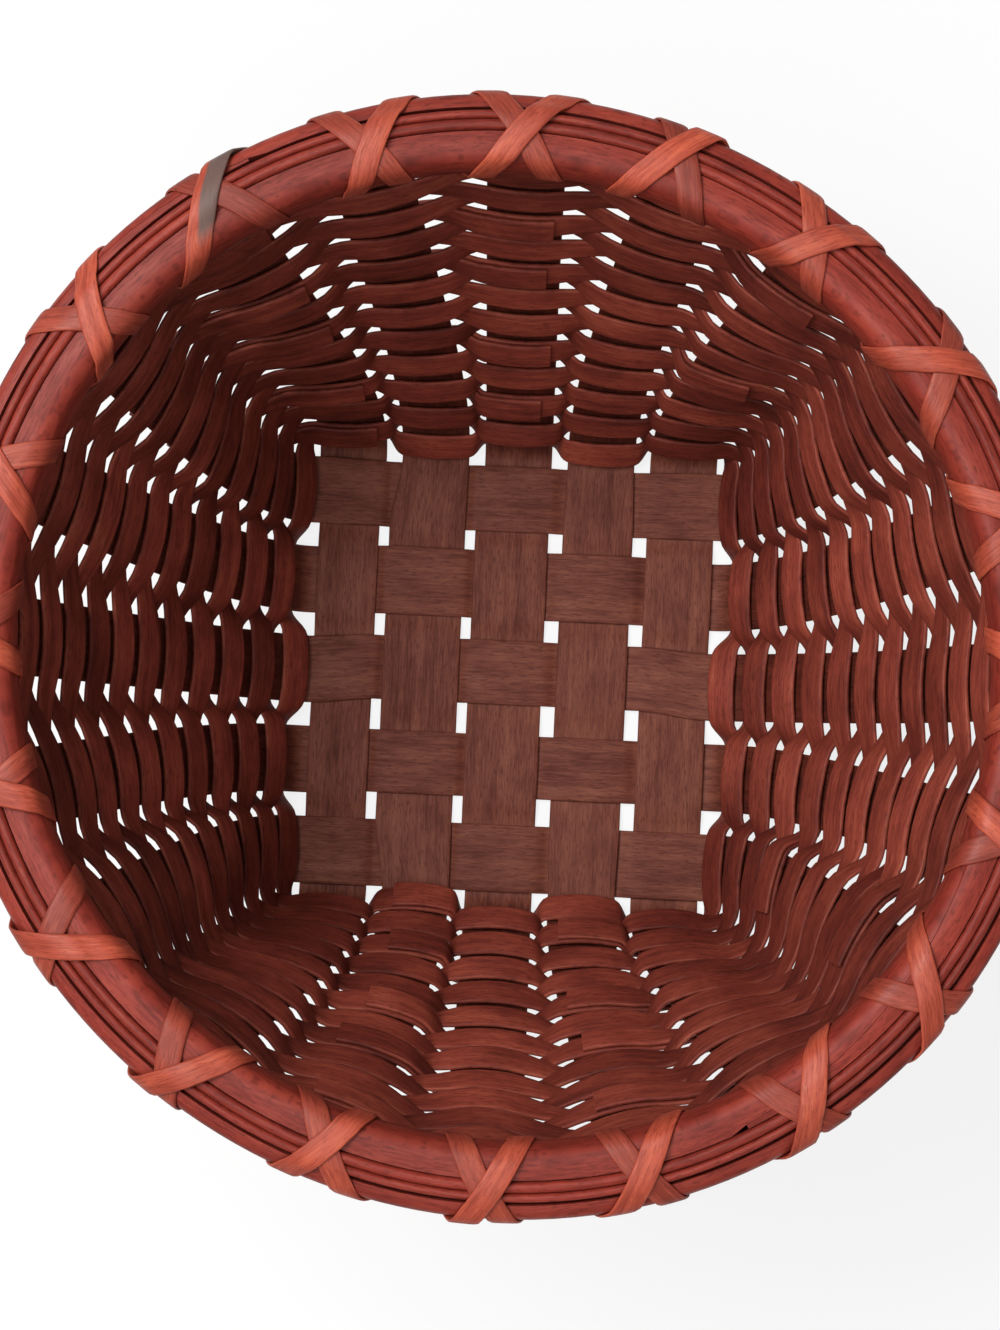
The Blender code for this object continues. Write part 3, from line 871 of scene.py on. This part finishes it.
def rim_outline(distance):
    """The loop round hoops and filler at a distance, as offsets and rises, from inner to outer foot."""
    points = []
    for face, sign, thickness in (
        (inner_hoop_gap, -1, inner_hoop_thickness),
        (outer_hoop_gap, 1, outer_hoop_thickness),
    ):
        for i in range(-hoop_back_points, hoop_back_points + 1):
            turn = math.radians(90) * i / hoop_back_points
            depth = abs(math.cos(turn)) ** (2 / 3)
            half = math.copysign(abs(math.sin(turn)) ** (2 / 3), turn)
            rise = slot_height + hoop_height / 2 * (1 + half)
            points.append(Vector((sign * (face + depth * thickness), rise)))
    points += [Vector((offset, filler_rise + filler_height)) for offset in filler_crest]
    grown = []
    for point in points:
        for i in range(round_points):
            turn = math.tau * i / round_points
            grown.append(point + Vector((math.cos(turn), math.sin(turn))) * distance)
    hull = [grown[i] for i in convex_hull_2d(grown)]
    foot = min(range(len(hull)), key=lambda i: hull[i].y * 2 + hull[i].x)
    hull = hull[foot:] + hull[:foot]
    if hull[len(hull) // 4].x > hull[3 * len(hull) // 4].x:
        hull = hull[:1] + hull[:0:-1]
    end = min(range(len(hull)), key=lambda i: hull[i].y * 2 - hull[i].x)
    hull = hull[: end + 1]
    runs = [0.0]
    for here, there in zip(hull, hull[1:]):
        runs.append(runs[-1] + (there - here).length)
    offsets, rises = [point.x for point in hull], [point.y for point in hull]
    even = []
    for i in range(lashing_points + 1):
        place = runs[-1] * i / lashing_points
        even.append(Vector((value_at(place, runs, offsets), value_at(place, runs, rises))))
    return even


def draw_turns(hand, number):
    """Angle of a strip at each point of each turn. No two turns are drawn in quite alike."""
    chance = random.Random(number)
    turns = []
    for turn in range(uprights):
        inner_sway, outer_sway = (chance.uniform(-lashing_sway, lashing_sway) for _ in range(2))
        angles = []
        for i in range(lashing_points + 1):
            share = i / lashing_points
            step = turn + 0.5 - math.cos(math.pi * share) / 2 * lashing_cross_share
            sway = inner_sway + (outer_sway - inner_sway) * share
            angles.append(lashing_first + hand * upright_step * step + sway)
        turns.append(angles)
    return turns


def lift_over(angle, i, turn, crossed):
    """How far a strip is lifted off the hoops, as a share.

    It is lifted over the strip that it crosses, and at its feet in the slots.
    """
    foot = 1 - min(i, lashing_points - i) / lashing_foot_points
    partner = uprights - 1 - turn
    others = [crossed[(partner + k) % uprights][i] for k in (-1, 0, 1)]
    apart = min(abs(math.remainder(angle - other, math.tau)) * wall_radius for other in others)
    over = (lashing_clear_of - apart) / (lashing_clear_of - lashing_across)
    lift = min(max(foot, over, 0.0), 1.0)
    return lift * lift * (3 - 2 * lift)


def wind_lashing(name, distance, hand, number, stain, crossed=None, worn_at=None):
    """A strip wound slot by slot round the rim, leaning to the left or the right.

    It crosses over the stake on top of the rim, runs down steeply beside it, and makes up the rest
    of its step in the slot. It lies on the hoops, but for where it crosses over the other strip.
    """
    low, high = rim_outline(lashing_first_distance), rim_outline(distance)
    under = high[0].y
    places = [(lashing_first, -lashing_end_gap / 2, under)]
    for turn, angles in enumerate(draw_turns(hand, number)):
        for i, angle in enumerate(angles):
            lift = lift_over(angle, i, turn, crossed) if crossed else 1.0
            point = low[i].lerp(high[i], lift)
            places.append((angle, point.x, point.y))
        if turn < uprights - 1:
            slot = lashing_first + hand * upright_step * (turn + 1)
            places.append((slot, (high[0].x + high[-1].x) / 2, under))
    places.append((lashing_first + hand * math.tau, lashing_end_gap / 2, under))
    centres, sides = [], []
    for angle, offset, rise in places:
        point, normal = rim_point(angle, offset, rise)
        centres.append(point + rim_lift)
        sides.append(across(normal))
    halves = []
    for i, side in enumerate(sides):
        course = (centres[min(i + 1, len(centres) - 1)] - centres[max(i - 1, 0)]).normalized()
        slant = max(course.cross(side).length, math.sin(lashing_least_slant))
        halves.append(side * (lashing_width / 2 / slant))
    return lay_splint(
        name,
        centres,
        halves,
        lashing_thickness,
        lashing_section,
        number,
        lambda centre, along: min(max(stain + 0.8 * noise.noise(Vector((along * 22, number, 3))), 0), 1),
        worn_at,
    )


split_angle = math.radians(123)
split_reach = math.radians(8)
split_depth = 1.9
split_share = 0.1


def split_edge(centre, share):
    """Where the top strip has split along one edge beside the joint, and the wood shows grey."""
    away = abs(math.atan2(centre.y, centre.x) - split_angle) / split_reach
    return max(1 - away, 0.0) * (split_depth if share < split_share else 0.0)


first_pass = wind_lashing(
    "splint_lashing_first", lashing_first_distance, hand=1, number=90, stain=0.75
)
stand_for(first_pass, "lashing_first_pass", lashing_stain)
second_pass = wind_lashing(
    "splint_lashing_second",
    lashing_second_distance,
    hand=-1,
    number=91,
    stain=0.25,
    crossed=draw_turns(hand=1, number=90),
    worn_at=split_edge,
)
stand_for(second_pass, "lashing_second_pass", lashing_stain)

# Floor. A sheet of matt white paper under the basket, which shows white to the camera and still
# keeps the soft shadow that the basket casts.

floor_half = 1.5
white_share = 0.8

paper = bpy.data.materials.new("matt_white_paper")
paper.use_nodes = True
tree = paper.node_tree
tree.nodes.remove(tree.nodes["Principled BSDF"])
matt = add_node(tree, "BsdfDiffuse", {"Color": linear("F4F4F4")})
bright = add_node(tree, "Emission", {"Color": (1.0, 1.0, 1.0, 1.0), "Strength": 1.0})
rays = add_node(tree, "LightPath", {})
seen = add_node(
    tree, "Math", {0: rays.outputs["Is Camera Ray"], 1: rays.outputs["Is Glossy Ray"]}, operation="ADD"
)
seen = add_node(
    tree, "Math", {0: seen.outputs[0], 1: rays.outputs["Is Transmission Ray"]}, operation="ADD"
)
seen = add_node(tree, "Math", {0: seen.outputs[0], 1: white_share}, operation="MULTIPLY")
both = add_node(tree, "MixShader", {0: seen.outputs[0], 1: matt.outputs[0], 2: bright.outputs[0]})
tree.links.new(both.outputs[0], tree.nodes["Material Output"].inputs["Surface"])

corners = [(x * floor_half, y * floor_half, 0) for x, y in ((-1, -1), (1, -1), (1, 1), (-1, 1))]
mesh = bpy.data.meshes.new("floor")
mesh.from_pydata(corners, [], [(0, 1, 2, 3)])
mesh.materials.append(paper)
floor = bpy.data.objects.new("floor", mesh)
bpy.context.scene.collection.objects.link(floor)

# Light. A broad soft lamp from the upper left of the picture and a weak one from below it, in an
# even white room.

room_light = 0.31
lamps_aim = Vector((0, 0, 0.08))

world = bpy.data.worlds.new("white_room")
bpy.context.scene.world = world
world.use_nodes = True
tree = world.node_tree
rays = add_node(tree, "LightPath", {})
room = tree.nodes["Background"]
room.inputs["Color"].default_value = (1.0, 1.0, 1.0, 1.0)
level = add_node(
    tree, "MapRange", {"Value": rays.outputs["Is Camera Ray"], "To Min": room_light, "To Max": 1.0}
)
tree.links.new(level.outputs[0], room.inputs["Strength"])

for name, size, power, place in (
    ("key_lamp", 0.6, 12.8, Vector((-0.48, 0.25, 1.15))),
    ("fill_lamp", 0.7, 3.6, Vector((-0.06, -0.42, 1.15))),
):
    lamp = bpy.data.objects.new(name, bpy.data.lights.new(name, "AREA"))
    lamp.data.size = size
    lamp.data.energy = power
    lamp.location = place
    lamp.rotation_euler = (lamps_aim - place).to_track_quat("-Z", "Y").to_euler()
    bpy.context.scene.collection.objects.link(lamp)

# Camera. Held by hand over the mouth of the basket, so it is a little off the middle and turned
# a few degrees.

camera = bpy.data.objects.new("camera", bpy.data.cameras.new("camera"))
camera.data.lens = 93.5
camera.location = (0.0072, -0.0267, 0.8485)
camera.rotation_mode = "ZXY"
camera.rotation_euler = (0.0352, 0.0111, 0.0470)
bpy.context.scene.collection.objects.link(camera)
bpy.context.scene.camera = camera

bpy.context.scene.view_settings.view_transform = "Standard"
